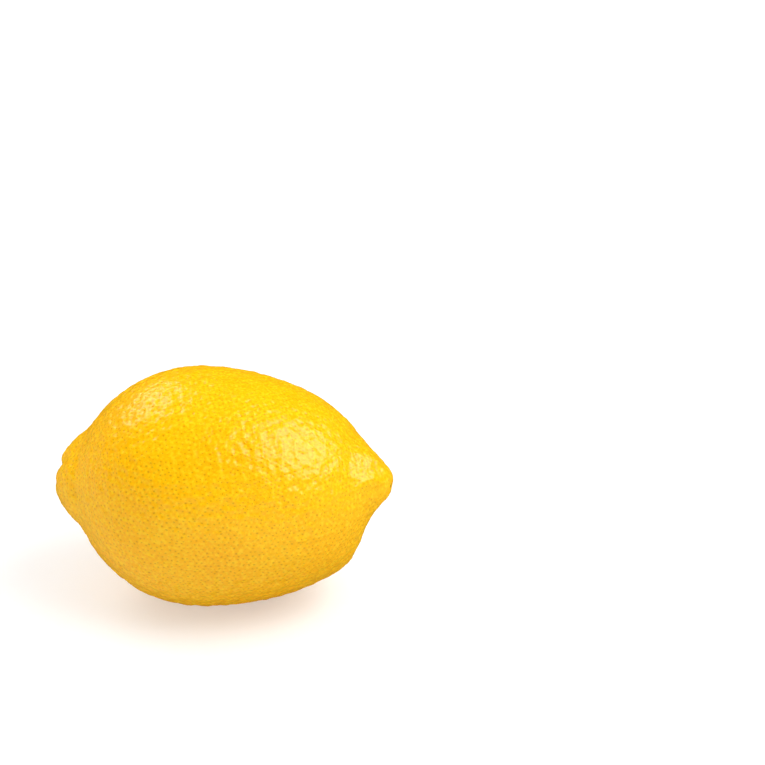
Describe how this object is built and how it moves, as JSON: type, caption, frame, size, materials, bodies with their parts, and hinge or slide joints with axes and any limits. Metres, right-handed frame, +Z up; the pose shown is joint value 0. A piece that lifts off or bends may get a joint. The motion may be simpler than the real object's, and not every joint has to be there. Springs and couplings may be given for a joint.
{
  "type": "lemon",
  "caption": "Whole ripe lemon lying on its side: egg-shaped body, blunt ridged nipple at one end, lobed collar round a small stalk pit at the other.",
  "frame": {"origin": "on the surface the fruit lies on, under the middle of its outer box", "axes": "+X along the fruit's length towards the nipple, +Z up, -Y the side shown in the picture"},
  "size_m": [0.0838, 0.06, 0.0592],
  "materials": {
    "peel": "satin"
  },
  "bodies": {
    "root": {"lemon": "peel"}
  },
  "joints": []
}
